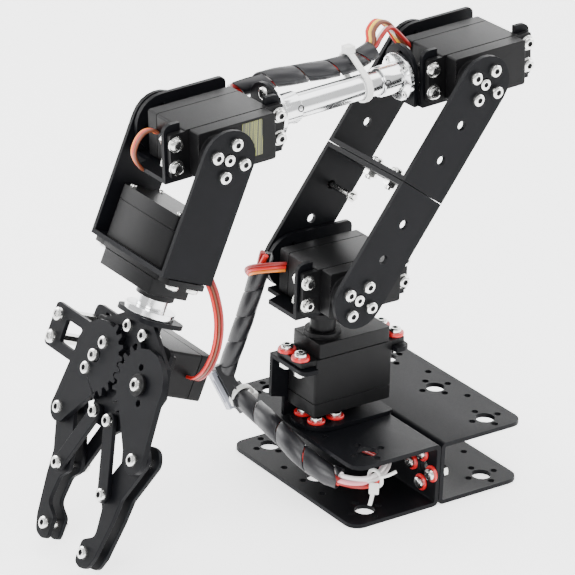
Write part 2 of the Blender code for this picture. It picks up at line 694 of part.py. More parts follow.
def finger_points(side):
    """Gear centre, arm end, link base and link end of one finger."""
    a = math.radians(FINGER_DEG)
    dx, dy = side * FINGER * math.sin(a), FINGER * math.cos(a)
    gear = (side * GEAR_X, GEAR_Y)
    base = (side * (GEAR_X - LINK_DX), GEAR_Y + LINK_DY)
    return gear, (gear[0] + dx, gear[1] + dy), base, (base[0] + dx, base[1] + dy)


def front_plate():
    """Plate the gears and links turn on, with the window at its servo end."""
    x0, x1 = -56.0, 30.0
    out = [(x0, 88.5), (x0 + 1.5, 87.5), (-31, 87.5), (-9, 74.0), (9, 74.0), (26, 86.0), (x1, 97.0)]
    out += [(26, 107.0), (12.0, 111.0), (10.5, 119.0), (7.0, 122.0), (-7.0, 122.0), (-10.5, 119.0)]
    out += [(-12.0, 111.0), (-31, 106.5), (x0 + 1.5, 106.5), (x0, 105.5)]
    holes = [slab(-46.0, -34.0, 92.0, 102.0, (1, 1, 1, 1), 2), circle(-GEAR_X, GEAR_Y, 8.6, 20)]
    holes += [circle(GEAR_X, GEAR_Y, 3.7, 12)]
    holes += [circle(s * (GEAR_X - LINK_DX), GEAR_Y + LINK_DY, 1.8, 8) for s in (-1, 1)]
    holes += [circle(s * 5.6, 79.5, 1.6, 8) for s in (-1, 1)]
    holes += [circle(2.5, 85.5, 1.6, 8)]
    holes += [circle(-GEAR_X - 34.95, GEAR_Y + t * 5, 1.7, 8) for t in (-1, 1)]
    return plate("z", out, -2.6, -0.6, holes)


def build_hand(coll, wrist_body, wrist, rf, top):
    """Roll horn, hand bracket, gripper plates and the gripper servo."""
    h = hand_frame(wrist)
    d = -top + 9.6 + GAP
    body = Body(coll, "hand", h @ Vector((0, d, 0)), wrist_body)
    body.add(rf, "roll_horn", servo_horn(9.6, 10.6, 2.6, 6.2), ALU, 30)
    cap = slab(-9.5, 12.0, -12.0, 12.0, (5, 5, 5, 5))
    capm = plate("y", cap, d, d + SHEET, [circle(0, 0, 3.0, 12)] + pattern(0, 0, 0))
    web = [(-9.0, d), (9.0, d), (9.0, 84.0), (6.0, 88.0), (-6.0, 88.0), (-9.0, 84.0)]
    webm = plate("z", web, -0.3, 1.7, [circle(s * 5.6, 79.5, 1.6, 8) for s in (-1, 1)])
    body.add(h, "hand_bracket", fused([capm, webm]), BLACK)
    body.add(h, "gripper_front_plate", front_plate(), BLACK)
    ear = 19.1
    g = h @ Matrix(((0, -1, 0, -GEAR_X), (0, 0, 1, GEAR_Y), (-1, 0, 0, ear - GEARBOX_H - 0.3),
                    (0, 0, 0, 1)))
    body.add(g, "gripper_servo_case", servo_case(), PLASTIC)
    body.add(g, "gripper_servo_gearbox", servo_gearbox(), PLASTIC)
    mid = -GEAR_X + SHAFT - CASE_L / 2
    outer = slab(mid - 28.5, mid + 28.5, GEAR_Y - 12, GEAR_Y + 12, (3, 3, 3, 3), 3)
    hole = [slab(mid - 20.6, mid + 20.6, GEAR_Y - 10.4, GEAR_Y + 10.4)]
    hole += [circle(mid + s * EAR_HOLE, GEAR_Y + t * 5, 1.7, 8) for s in (-1, 1) for t in (-1, 1)]
    body.add(h, "gripper_servo_plate", plate("z", outer, ear - GAP - SHEET, ear - GAP, hole), BLACK)
    for t, name in ((-1, "upper"), (1, "lower")):
        me = pin(mid - EAR_HOLE, GEAR_Y + t * 5, -2.6, ear + EAR_T, [(-0.4, ear - GAP - SHEET - 0.2, 2.6)])
        body.add(h, "gripper_spacer_" + name, me, STEEL, 30)
    bush = [(2.5, -7.0), (4.6, -7.0), (4.6, -5.7), (3.2, -5.7), (3.2, 1.2), (2.5, 1.2), (2.5, -7.0)]
    body.add(h, "right_gear_bush", turned("z", GEAR_X, GEAR_Y, bush, 16), STEEL, 30)
    return body, h, g


def build_fingers(coll, hand, h, g):
    """Geared finger arms, links and fingertips."""
    for side, name in ((-1, "left"), (1, "right")):
        gear, end, base, tip = finger_points(side)
        arm = Body(coll, name + "_finger", h @ Vector((gear[0], gear[1], -4)), hand)
        arm.add(h, name + "_gear_arm", gear_sector(side, -5.4, -2.9), BLACK)
        link = Body(coll, name + "_link_body", h @ Vector((base[0], base[1], -4)), hand)
        bars = [plate("z", hull(base, 3.2, tip, 3.2, 8), -5.4, -3.4),
                plate("z", hull(base, 3.2, tip, 3.2, 8), 5.6, 7.6),
                pin(base[0], base[1], -5.3, 7.5), pin(tip[0], tip[1], -5.3, 7.5)]
        link.add(h, name + "_link", fused(bars), BLACK)
        grip = Body(coll, name + "_tip", h @ Vector((end[0], end[1], -4)), arm)
        outline = fingertip_outline(side, end, tip)
        hole = [circle(tip[0], tip[1], 1.9, 10)]
        nose = (tip[0] - side * 1.9, tip[1] + 26.0)
        both = [plate("z", outline, -2.6, -0.6, hole), plate("z", outline, 3.2, 5.2, hole),
                pin(end[0], end[1], -5.4, 5.1, [(-2.5, 5.1, 2.4)]),
                pin(nose[0], nose[1], -2.5, 5.1, [(-2.4, 5.0, 2.4)])]
        grip.add(h, name + "_fingertip", fused(both), BLACK)
        if side < 0:
            top = 19.1 - GEARBOX_H - 0.3
            prof = [(0, top - BOSS_H - 0.3), (4.5, top - BOSS_H - 0.3), (4.5, 0.6), (8.0, 0.6), (8.0, -2.6)]
            prof += [(2.6, -2.6), (2.6, -6.8), (0, -6.8)]
            arm.add(h, "gripper_horn", turned("z", gear[0], gear[1], prof, 20), ALU, 30)


def finish(coll):
    """Drop the unused data left by the helpers."""
    for me in list(bpy.data.meshes):
        if me.users == 0:
            bpy.data.meshes.remove(me)


def main():
    clear_scene()
    coll = bpy.data.collections.new("desktop_robot_arm")
    bpy.context.scene.collection.children.link(coll)
    base, case_top = build_base(coll)
    y, z = SHOULDER
    a = math.radians(LEAN)
    elbow = (y + ARM * math.sin(a), z + ARM * math.cos(a))
    t = math.radians(FORE_TILT)
    wrist = (elbow[0] - FORE * math.cos(t), elbow[1] - FORE * math.sin(t))
    turret = build_turret(coll, base, case_top)
    upper = build_upper_arm(coll, turret, elbow)
    fore = build_forearm(coll, upper, elbow, wrist)
    wrist_body, wf, shift = build_wrist(coll, fore, wrist)
    rf, top = build_roll(wrist_body, wf, shift)
    hand, h, g = build_hand(coll, wrist_body, wrist, rf, top)
    build_fingers(coll, hand, h, g)
    finish(coll)


main()
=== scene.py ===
"""Looks of the desktop robot arm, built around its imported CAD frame.

Metres, +Z up, in the frame of the CAD. Positions in millimetres are measured from the seam of
the base channels, as the arm's own dimensions are, and turned into metres by the matrices below.
"""
import json
import math

import bmesh
import bpy
from mathutils import Matrix, Vector

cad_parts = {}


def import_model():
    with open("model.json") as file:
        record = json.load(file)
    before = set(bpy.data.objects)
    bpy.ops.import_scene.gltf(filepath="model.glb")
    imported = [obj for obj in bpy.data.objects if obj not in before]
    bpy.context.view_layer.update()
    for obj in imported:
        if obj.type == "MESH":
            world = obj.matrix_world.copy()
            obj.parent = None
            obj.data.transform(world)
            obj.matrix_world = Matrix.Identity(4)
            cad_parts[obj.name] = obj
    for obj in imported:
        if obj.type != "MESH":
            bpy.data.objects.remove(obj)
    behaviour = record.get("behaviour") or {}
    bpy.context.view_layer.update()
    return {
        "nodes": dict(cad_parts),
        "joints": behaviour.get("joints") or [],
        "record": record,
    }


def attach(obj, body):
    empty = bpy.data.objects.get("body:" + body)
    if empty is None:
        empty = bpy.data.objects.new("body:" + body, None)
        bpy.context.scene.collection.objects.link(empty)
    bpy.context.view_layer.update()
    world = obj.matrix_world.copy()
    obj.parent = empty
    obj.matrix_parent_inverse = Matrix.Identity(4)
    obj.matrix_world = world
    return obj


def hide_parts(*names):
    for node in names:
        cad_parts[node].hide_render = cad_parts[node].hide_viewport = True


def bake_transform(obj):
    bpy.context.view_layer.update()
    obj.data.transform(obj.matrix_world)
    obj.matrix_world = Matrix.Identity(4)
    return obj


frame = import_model()

MM = 0.001
SEAM_Y = 31.5             # seam of the channels from the yaw axis
SHEET = 2.0
CASE_L = 40.4             # servo case, shaft 10 mm from its near end
SHAFT = 10.0
MID = CASE_L / 2 - SHAFT
EAR_HOLE = 24.8
EAR_FACE = -7.1           # outer face of the ears below the case top
TAB_BACK = -12.0          # inner face of the bracket's tabs
FORK_FACE = 9.6           # outer face of the fork arm on the horn
PCD_R = 7.0
LEAN = 35.46
FORE_TILT = 3.8
HAND_TILT = 21.5
TUBE_X = -22.0
TUBE_Z = -1.0
ROLL_X = 10.2
GEAR_X = 16.5
GEAR_Y = 97.0
FINGER = 30.0
FINGER_DEG = 23.0
LINK_DX = 11.2
LINK_DY = 20.0
EAR_ACROSS = 5.0          # ear holes to either side of the case's middle
ROLL_TOP = -61.55         # top of the roll servo's case below the wrist axis
CASE_H = 34.0             # top of a servo case to its bottom cover
BOLT_Z = 14.8             # middle of the bolts through the channels' webs
BOLT_X = 36.4
FORK_MID = -17.2          # middle of the two forks' bases
FORK_LEN = 51.75          # pitch axis to the foot of a fork
HOLE_LOW = -36.5          # lower hole along a fork's arm
BACK_PLATE_Z = 29.8       # underside of the base servo bracket's back plate
PATTERN = 4.95            # half the square between holes on a 7 mm circle
FLANGE_PCD_R = 8.5
PLATE_HOLE = 8.6          # end plate's screw from the tube's middle
SET_SCREW_R = 6.3         # surface that the set screws stand in
WEB_HOLE = (5.6, 79.5)    # screws that hold the gripper on the hand
SPACER_X = -34.95         # gripper's end screws from the left gear
HORN_HOLE_R = 7.2
HORN_TURN = 113           # direction of the left gear's horn screws
GEAR_FACE = -5.4          # front face of the gears and the links
TIP_FACE = -2.6           # front face of the fingertips
HEAD_R = 2.75             # screw heads
HEAD_H = 1.9


# ---------------------------------------------------------------- frames

def world(x, y, z):
    """A point in millimetres from the seam, in metres."""
    return Vector((x, y + SEAM_Y, z)) * MM


def joint_at(name):
    """A joint's place in millimetres from the seam."""
    for joint in frame["joints"]:
        if joint["name"] == name:
            p = Vector(joint["pos_m"]) / MM
            return Vector((p.x, p.y - SEAM_Y, p.z))
    raise KeyError(name)


def tilted(at, degrees):
    """Frame of a pitch joint turned about X."""
    return Matrix.Translation(at) @ Matrix.Rotation(math.radians(degrees), 4, "X")


def metres(local):
    """A millimetre frame as a matrix in metres."""
    return Matrix.Scale(MM, 4) @ Matrix.Translation((0, SEAM_Y, 0)) @ local


BASE = Matrix.Identity(4)
YAW = joint_at("base_yaw")
SHOULDER = joint_at("shoulder_pitch")
ELBOW = joint_at("elbow_pitch")
WRIST = joint_at("wrist_pitch")
SHOULDER_BRACKET = tilted(SHOULDER, 0)
LOWER_FORK = tilted(SHOULDER, 180 - LEAN)
UPPER_FORK = tilted(ELBOW, -LEAN)
ELBOW_BRACKET = tilted(ELBOW, FORE_TILT)
WRIST_BRACKET = tilted(WRIST, FORE_TILT)
WRIST_FORK = tilted(WRIST, -HAND_TILT)
SIN, COS = math.sin(math.radians(HAND_TILT)), math.cos(math.radians(HAND_TILT))
HAND = Matrix(((1, 0, 0, ROLL_X), (0, -SIN, COS, WRIST.y), (0, -COS, -SIN, WRIST.z), (0, 0, 0, 1)))
YAW_SERVO = Matrix(((0, 0, -1, 0), (0, 1, 0, YAW.y), (1, 0, 0, YAW.z), (0, 0, 0, 1)))
ROLL_SERVO = WRIST_FORK @ Matrix(((0, -1, 0, ROLL_X - WRIST.x), (0, 0, 1, 0), (-1, 0, 0, ROLL_TOP),
                                  (0, 0, 0, 1)))
TO_X = Matrix(((0, 0, 1, 0), (1, 0, 0, 0), (0, 1, 0, 0), (0, 0, 0, 1)))


# ---------------------------------------------------------------- materials

def shader(name, colour, metallic, rough):
    """A Principled material and its node tree."""
    mat = bpy.data.materials.new(name)
    mat.use_nodes = True
    bsdf = mat.node_tree.nodes["Principled BSDF"]
    bsdf.inputs["Base Color"].default_value = (*colour, 1)
    bsdf.inputs["Metallic"].default_value = metallic
    bsdf.inputs["Roughness"].default_value = rough
    return mat, mat.node_tree, bsdf


def noise(tree, scale, detail=4.0, stretch=(1, 1, 1)):
    """Noise in object space, its scale in cycles a metre."""
    coord = tree.nodes.new("ShaderNodeTexCoord")
    place = tree.nodes.new("ShaderNodeMapping")
    place.inputs["Scale"].default_value = stretch
    tex = tree.nodes.new("ShaderNodeTexNoise")
    tex.inputs["Scale"].default_value = scale
    tex.inputs["Detail"].default_value = detail
    tree.links.new(coord.outputs["Object"], place.inputs["Vector"])
    tree.links.new(place.outputs["Vector"], tex.inputs["Vector"])
    return tex.outputs["Fac"]


def ramp(tree, fac, low, high, a, b):
    """Map a value to a range of colours or greys."""
    node = tree.nodes.new("ShaderNodeValToRGB")
    node.color_ramp.elements[0].position = low
    node.color_ramp.elements[1].position = high
    node.color_ramp.elements[0].color = a
    node.color_ramp.elements[1].color = b
    tree.links.new(fac, node.inputs["Fac"])
    return node.outputs["Color"]


def grey(value):
    return (value, value, value, 1)


def bump(tree, bsdf, fac, strength, distance):
    node = tree.nodes.new("ShaderNodeBump")
    node.inputs["Strength"].default_value = strength
    node.inputs["Distance"].default_value = distance
    tree.links.new(fac, node.inputs["Height"])
    tree.links.new(node.outputs["Normal"], bsdf.inputs["Normal"])


def textured(name, colour, metallic, rough, grain, spread, depth, tint=0.12, stretch=(1, 1, 1)):
    """Finish with fine grain in its height and roughness and slow drifts in its colour."""
    mat, tree, bsdf = shader(name, colour, metallic, rough)
    drift = noise(tree, 60, 3.0, stretch)
    dark = (*[c * (1 - tint) for c in colour], 1)
    light = (*[min(1, c * (1 + tint)) for c in colour], 1)
    tree.links.new(ramp(tree, drift, 0.3, 0.7, dark, light), bsdf.inputs["Base Color"])
    fine = noise(tree, grain, 3.0, stretch)
    low, high = grey(max(0.02, rough - spread)), grey(min(1, rough + spread))
    tree.links.new(ramp(tree, fine, 0.3, 0.7, low, high), bsdf.inputs["Roughness"])
    bump(tree, bsdf, fine, 0.35, depth)
    return mat


COAT = textured("powder_coat", (0.0032, 0.0034, 0.0044), 0.0, 0.42, 2600, 0.07, 0.00004)
COAT.node_tree.nodes["Principled BSDF"].inputs["Specular IOR Level"].default_value = 0.08
CASE = textured("moulded_case", (0.0050, 0.0050, 0.0054), 0.0, 0.38, 3800, 0.06, 0.00005)
CASE.node_tree.nodes["Principled BSDF"].inputs["Specular IOR Level"].default_value = 0.11
STEEL = textured("plated_steel", (0.74, 0.74, 0.72), 1.0, 0.20, 900, 0.06, 0.00002, 0.06)
ALU = textured("polished_metal", (0.86, 0.87, 0.88), 1.0, 0.16, 500, 0.05, 0.00002, 0.04, (1, 0.08, 1))
RED = textured("red_washer", (0.56, 0.012, 0.015), 0.0, 0.32, 900, 0.05, 0.00003)
NYLON = textured("white_nylon", (0.82, 0.82, 0.80), 0.0, 0.38, 700, 0.05, 0.00003, 0.04)
WRAP = textured("black_wrap", (0.008, 0.008, 0.010), 0.0, 0.40, 500, 0.05, 0.00004)
# Near-black: painted shade in the screws' sockets and cross recesses; the set screws are drawn all in it
# too.
BLACK_AND_RECESS_SHADE = textured("recess", (0.010, 0.010, 0.011), 0.0, 0.6, 900, 0.05, 0.00002)
GREY_PLUG = textured("grey_plug", (0.30, 0.31, 0.36), 0.0, 0.4, 900, 0.05, 0.00003)
LEADS = {
    "red": (0.60, 0.015, 0.012), "orange": (0.75, 0.20, 0.015), "brown": (0.13, 0.035, 0.015),
    "yellow": (0.80, 0.50, 0.03), "white": (0.78, 0.74, 0.74), "pink": (0.75, 0.30, 0.34),
    "black": (0.02, 0.02, 0.022), "dark_red": (0.28, 0.012, 0.012),
}
LEAD = {name: textured(name + "_lead", rgb, 0.0, 0.38, 600, 0.05, 0.00003) for name, rgb in LEADS.items()}


def label_material():
    """Dark label with rows of pale yellow-green blocks."""
    mat, tree, bsdf = shader("servo_label", (0.02, 0.02, 0.02), 0.0, 0.3)
    coord = tree.nodes.new("ShaderNodeTexCoord")
    brick = tree.nodes.new("ShaderNodeTexBrick")
    brick.inputs["Scale"].default_value = 9.0
    brick.inputs["Color1"].default_value = (0.42, 0.45, 0.05, 1)
    brick.inputs["Color2"].default_value = (0.03, 0.03, 0.03, 1)
    brick.inputs["Mortar"].default_value = (0.015, 0.015, 0.015, 1)
    brick.inputs["Mortar Size"].default_value = 0.045
    tree.links.new(coord.outputs["Generated"], brick.inputs["Vector"])
    tree.links.new(brick.outputs["Color"], bsdf.inputs["Base Color"])
    return mat


# ---------------------------------------------------------------- mesh helpers

def to_object(bm, name, mats, body, smooth=35):
    """Finish a mesh in metres as a piece that rides on a body."""
    me = bpy.data.meshes.new(name)
    bmesh.ops.recalc_face_normals(bm, faces=bm.faces)
    bm.to_mesh(me)
    bm.free()
    for mat in mats:
        me.materials.append(mat)
    me.shade_smooth()
    me.set_sharp_from_angle(angle=math.radians(smooth))
    ob = bpy.data.objects.new(name, me)
    bpy.context.scene.collection.objects.link(ob)
    if body:
        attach(ob, body)
    return ob


def lathe(bm, matrix, profile, n=32, mat=0):
    """Turn a (radius, height) profile in millimetres about local Z and place it."""
    rings = []
    for r, z in profile:
        if r == 0:
            rings.append([bm.verts.new(matrix @ Vector((0, 0, z)))])
            continue
        ring = []
        for i in range(n):
            a = 2 * math.pi * i / n
            ring.append(bm.verts.new(matrix @ Vector((r * math.cos(a), r * math.sin(a), z))))
        rings.append(ring)
    for a, b in zip(rings, rings[1:]):
        for i in range(n):
            j = (i + 1) % n
            quad = [a[i % len(a)], a[j % len(a)], b[j % len(b)], b[i % len(b)]]
            face = bm.faces.new(list(dict.fromkeys(quad)))
            face.material_index = mat


def prism(bm, matrix, outline, z0, z1, mat=0):
    """Straight prism on a closed outline in millimetres."""
    low = [bm.verts.new(matrix @ Vector((x, y, z0))) for x, y in outline]
    top = [bm.verts.new(matrix @ Vector((x, y, z1))) for x, y in outline]
    faces = [bm.faces.new(low[::-1]), bm.faces.new(top)]
    for i in range(len(outline)):
        j = (i + 1) % len(outline)
        faces.append(bm.faces.new([low[i], low[j], top[j], top[i]]))
    for face in faces:
        face.material_index = mat


def regular(n, r, turn=0.0):
    return [(r * math.cos(2 * math.pi * i / n + turn), r * math.sin(2 * math.pi * i / n + turn))
            for i in range(n)]


def on(local, x, y, z, face="x", flip=False, turn=0.0):
    """Matrix in metres of a fastener that stands on a point of a local frame, pointing along a face."""
    m = metres(local) @ Matrix.Translation((x, y, z))
    if face == "x":
        m = m @ TO_X
    if face == "y":
        m = m @ Matrix.Rotation(math.radians(-90), 4, "X")
    if flip:
        m = m @ Matrix.Rotation(math.pi, 4, "X")
    return m @ Matrix.Rotation(math.radians(turn), 4, "Z")


def pan_head(bm, m, r=2.8, h=1.9, socket=1.35, mat=0, dark=1):
    """Pan head with a six-sided socket, standing on local z = 0. The socket's walls and floor take the
    near-black material as painted shade.
    """
    n = 24
    rings = [(r, 0.0), (r, h * 0.45), (r * 0.93, h * 0.78), (r * 0.76, h * 0.95), (socket * 1.3, h)]
    loops = []
    for rad, z in rings:
        loops.append([bm.verts.new(m @ Vector((rad * math.cos(2 * math.pi * i / n),
                                               rad * math.sin(2 * math.pi * i / n), z))) for i in range(n)])
    hexes = []
    for z in (h - 0.05, h - 1.1):
        loop = []
        for i in range(n):
            a = 2 * math.pi * i / n
            sector = (a % (math.pi / 3)) - math.pi / 6
            rad = socket * math.cos(math.pi / 6) / math.cos(sector)
            loop.append(bm.verts.new(m @ Vector((rad * math.cos(a), rad * math.sin(a), z))))
        hexes.append(loop)
    loops += hexes
    for k, (a, b) in enumerate(zip(loops, loops[1:])):
        for i in range(n):
            j = (i + 1) % n
            face = bm.faces.new([a[i], a[j], b[j], b[i]])
            face.material_index = dark if k == len(loops) - 2 else mat
    floor = bm.faces.new(hexes[-1])
    floor.material_index = dark
    base = bm.faces.new(loops[0][::-1])
    base.material_index = mat


def cross_head(bm, m, r=2.8, h=1.9, mat=0, dark=1):
    """Domed head with a cross recess, standing on local z = 0. The recess is a near-black cross laid on the
    dome, painted shade.
    """
    lathe(bm, m, [(r, 0), (r, h * 0.4), (r * 0.92, h * 0.72), (r * 0.7, h * 0.92), (r * 0.3, h),
                  (0, h)], 24, mat)
    for k in range(2):
        arm = m @ Matrix.Rotation(k * math.pi / 2, 4, "Z")
        bar = [(-r * 0.58, -0.32), (r * 0.58, -0.32), (r * 0.58, 0.32), (-r * 0.58, 0.32)]
        prism(bm, arm, bar, h - 0.6, h + 0.03, dark)


def washer(bm, m, r, hole, h, mat=0):
    lathe(bm, m, [(hole, 0), (r, 0), (r, h * 0.7), (r - 0.25, h), (hole, h), (hole, 0)], 28, mat)


def nut(bm, m, across=5.5, h=2.3, mat=0):
    """Six-sided nut on local z = 0 with the screw's end in it."""
    r = across / math.sqrt(3)
    prism(bm, m, regular(6, r), 0, h * 0.88, mat)
    prism(bm, m, regular(24, across / 2 * 0.97), h * 0.88, h, mat)
    lathe(bm, m, [(1.5, h), (1.5, h + 0.9), (1.1, h + 1.2), (0, h + 1.2)], 16, mat)


def refined(node, width, mat, body, smooth=30):
    """The CAD node's own shape with its edges softened."""
    source = frame["nodes"][node]
    bm = bmesh.new()
    bm.from_mesh(source.data)
    bmesh.ops.remove_doubles(bm, verts=bm.verts, dist=0.000002)
    bmesh.ops.dissolve_limit(bm, angle_limit=math.radians(0.6), verts=bm.verts, edges=bm.edges)
    ob = to_object(bm, node + "_finish", [mat], None, smooth)
    mod = ob.modifiers.new("soft_edges", "BEVEL")
    mod.width = width * MM
    mod.segments = 2
    mod.limit_method = "ANGLE"
    mod.angle_limit = math.radians(32)
    mod.use_clamp_overlap = True
    mod.harden_normals = True
    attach(ob, body)
    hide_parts(node)
    return ob


def body_of_node(node):
    for body, nodes in frame["record"]["behaviour"]["bodies"].items():
        if node in nodes:
            return body
    raise KeyError(node)


# ---------------------------------------------------------------- cables

def smooth_line(route, gap):
    """Points about every 'gap' millimetres on a smooth curve through the route."""
    pts = [Vector(p) for p in route]
    ext = [pts[0] * 2 - pts[1]] + pts + [pts[-1] * 2 - pts[-2]]
    line = [pts[0]]
    for i in range(1, len(ext) - 2):
        p0, p1, p2, p3 = ext[i - 1:i + 3]
        for k in range(1, 41):
            t = k / 40
            p = 0.5 * ((2 * p1) + (p2 - p0) * t + (2 * p0 - 5 * p1 + 4 * p2 - p3) * t * t
                       + (3 * p1 - p0 - 3 * p2 + p3) * t * t * t)
            if (p - line[-1]).length >= gap:
                line.append(p)
    if (line[-1] - pts[-1]).length > gap * 0.3:
        line.append(pts[-1])
    return line


def carried(line, side):
    """Tangent and two normals at each point, carried along without twist."""
    frames = []
    normal = Vector(side)
    for i, p in enumerate(line):
        t = (line[min(i + 1, len(line) - 1)] - line[max(i - 1, 0)]).normalized()
        normal = (normal - t * normal.dot(t)).normalized()
        frames.append((p, t, normal.copy(), t.cross(normal)))
    return frames


def tube(bm, points, radius, n=10, mat=0):
    """Round tube in metres along points in millimetres."""
    loops = []
    for p, _, a, b in carried(points, (0.3, 0.2, 1)):
        loops.append([bm.verts.new((p + (a * math.cos(2 * math.pi * i / n)
                                         + b * math.sin(2 * math.pi * i / n)) * radius) * MM)
                      for i in range(n)])
    for u, v in zip(loops, loops[1:]):
        for i in range(n):
            j = (i + 1) % n
            face = bm.faces.new([u[i], u[j], v[j], v[i]])
            face.material_index = mat
    bm.faces.new(loops[0][::-1]).material_index = mat
    bm.faces.new(loops[-1]).material_index = mat


def seam_shift(points):
    """Points from the seam moved to the frame of the CAD, still in millimetres."""
    return [Vector((p.x, p.y + SEAM_Y, p.z)) for p in points]


def ribbon(bm, route, colours, radius, side, gap=1.2):
    """Flat servo lead: wires side by side along one route; returns the middle line."""
    line = seam_shift(smooth_line(route, gap))
    frames = carried(line, side)
    for k in range(len(colours)):
        shift = (k - (len(colours) - 1) / 2) * radius * 1.92
        tube(bm, [p + a * shift for p, _, a, _ in frames], radius, 10, k)
    return line


def bundle(bm, line, radius, wires, twist):
    """Wires wound loosely inside a wrap."""
    frames = carried(line, (0.3, 0.2, 1))
    for k in range(wires):
        pts = []
        for i, (p, _, a, b) in enumerate(frames):
            ang = 2 * math.pi * (k / wires + twist * i / len(frames))
            pts.append(p + (a * math.cos(ang) + b * math.sin(ang)) * radius * 0.52)
        tube(bm, pts, radius * 0.42, 8, 1 + k)


def spiral(bm, line, radius, pitch, cover, thick=0.7, mat=0):
    """Ribbon wound round a line, covering a share of each turn."""
    frames = carried(line, (0.3, 0.2, 1))
    dist = [0.0]
    for a, b in zip(line, line[1:]):
        dist.append(dist[-1] + (b - a).length)
    total = dist[-1]
    steps = 22

    def at(s, ang, r):
        s = min(max(s, 0.0), total)
        i = 0
        while i < len(dist) - 2 and dist[i + 1] < s:
            i += 1
        f = (s - dist[i]) / max(1e-9, dist[i + 1] - dist[i])
        p0, _, a0, b0 = frames[i]
        p1, _, a1, b1 = frames[i + 1]
        p, a, b = p0.lerp(p1, f), a0.lerp(a1, f), b0.lerp(b1, f)
        return (p + (a * math.cos(ang) + b * math.sin(ang)) * r) * MM

    turns = total / pitch
    rows = []
    for k in range(int(turns * steps) + 1):
        ang = 2 * math.pi * k / steps
        s0 = pitch * k / steps
        s1 = s0 + pitch * cover
        if s0 > total - 0.4:
            break
        mid = (s0 + s1) / 2
        lift = 0.12 * math.sin(k * 0.7)
        ring = [at(s0, ang, radius - thick), at(s0, ang, radius - 0.25), at(s0 + 0.35, ang, radius),
                at(mid, ang, radius + 0.15 + lift), at(s1 - 0.35, ang, radius), at(s1, ang, radius - 0.25),
                at(s1, ang, radius - thick)]
        rows.append([bm.verts.new(v) for v in ring])
    for u, v in zip(rows, rows[1:]):
        for i in range(len(u)):
            j = (i + 1) % len(u)
            bm.faces.new([u[i], u[j], v[j], v[i]]).material_index = mat
    bm.faces.new(rows[0][::-1]).material_index = mat
    bm.faces.new(rows[-1]).material_index = mat


# ---------------------------------------------------------------- plates, cases and bars

COATED = ("front_base_channel", "rear_base_channel", "base_servo_bracket", "shoulder_bracket",
          "lower_arm_fork", "upper_arm_fork", "elbow_bracket", "elbow_end_plate", "wrist_bracket",
          "wrist_end_plate", "wrist_fork", "hand_bracket", "gripper_front_plate",
          "gripper_servo_plate", "left_gear_arm", "right_gear_arm")
CASES = [s + k for s in ("base", "shoulder", "elbow", "wrist", "roll", "gripper")
         for k in ("_servo_case", "_servo_gearbox")]
BARS = ("elbow_flange", "wrist_flange", "forearm_tube", "roll_horn", "gripper_horn")
PLAIN = ("shoulder_pivot", "elbow_pivot", "wrist_pivot", "arm_side_bolt",
         "gripper_spacer_upper", "gripper_spacer_lower")


def finish_cad_shapes():
    for node in COATED:
        refined(node, 0.28, COAT, body_of_node(node))
    for node in CASES:
        refined(node, 0.35, CASE, body_of_node(node))
    for node in BARS:
        refined(node, 0.18, ALU, body_of_node(node), 40)
    refined("turret_horn", 0.18, CASE, "turret", 40)
    refined("right_gear_bush", 0.15, CASE, body_of_node("right_gear_bush"), 40)
    for node in PLAIN:
        refined(node, 0.15, STEEL, body_of_node(node), 40)


# ---------------------------------------------------------------- fasteners

def piece(name, body, mats, draw, smooth=35):
    """One piece drawn by a function that fills a mesh."""
    bm = bmesh.new()
    draw(bm)
    return to_object(bm, name, mats, body, smooth)


def horn(name, node, local, body):
    """Horn disc with its four clamping screws and the centre screw."""
    def draw(bm):
        seat = on(local, 0, 0, 0)
        lathe(bm, seat, [(0, 2.7), (4.6, 2.7), (4.6, 5.1), (10.0, 5.1), (10.2, 5.3), (10.2, 7.1),
                         (10.0, 7.3), (0, 7.3)], 48, 2)
        for k in range(4):
            a = k * math.pi / 2
            spot = on(local, FORK_FACE + 0.12, PCD_R * math.cos(a), PCD_R * math.sin(a), turn=37 * k)
            pan_head(bm, spot, HEAD_R, 2.0)
        lathe(bm, seat, [(0, 6.9), (2.7, 6.9), (2.7, 9.2), (2.4, 9.9), (1.9, 10.0)], 28, 0)
        pan_head(bm, on(local, 8.4, 0, 0, turn=15), 2.6, 1.7, 1.2)
    ob = piece(name, body, [STEEL, BLACK_AND_RECESS_SHADE, ALU], draw)
    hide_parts(node)


def ear_screws(name, local, body, grommet=False):
    """Screws through the ears into the bracket's tabs, with the nuts behind them."""
    def draw(bm):
        for s in (-1, 1):
            for t in (-1, 1):
                y, z = MID + s * EAR_HOLE, t * EAR_ACROSS
                base = EAR_FACE + 0.05
                if grommet:
                    washer(bm, on(local, base, y, z), 4.0, 1.4, 1.5, 2)
                    base += 1.5
                else:
                    washer(bm, on(local, base, y, z), 3.3, 1.4, 0.5)
                    base += 0.5
                pan_head(bm, on(local, base, y, z, turn=20 * s + 31 * t), HEAD_R, HEAD_H)
                nut(bm, on(local, TAB_BACK - 0.05, y, z, flip=True, turn=12 * t))
    mats = [STEEL, BLACK_AND_RECESS_SHADE, RED]
    piece(name, body, mats, draw)


def web_bolts():
    """Bolts with red washers through the webs of both channels."""
    nodes = ["base_web_bolt_" + n for n in ("top", "outer", "bottom", "inner")]
    for q, node in enumerate(nodes):
        a = math.radians(90 * q)
        z, x = BOLT_Z + PCD_R * math.cos(a), BOLT_X + PCD_R * math.sin(a)

        def draw(bm):
            front = -SHEET - 0.2
            washer(bm, on(BASE, x, front, z, "y", True), 3.75, 1.4, 0.9, 2)
            cross_head(bm, on(BASE, x, front - 0.9, z, "y", True, 20 + 40 * q), HEAD_R, HEAD_H)
            nut(bm, on(BASE, x, SHEET + 0.2, z, "y", False, 15 * q), 5.3, 2.2)
        ob = piece(node + "_finish", "base", [STEEL, BLACK_AND_RECESS_SHADE, RED], draw)
        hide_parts(node)


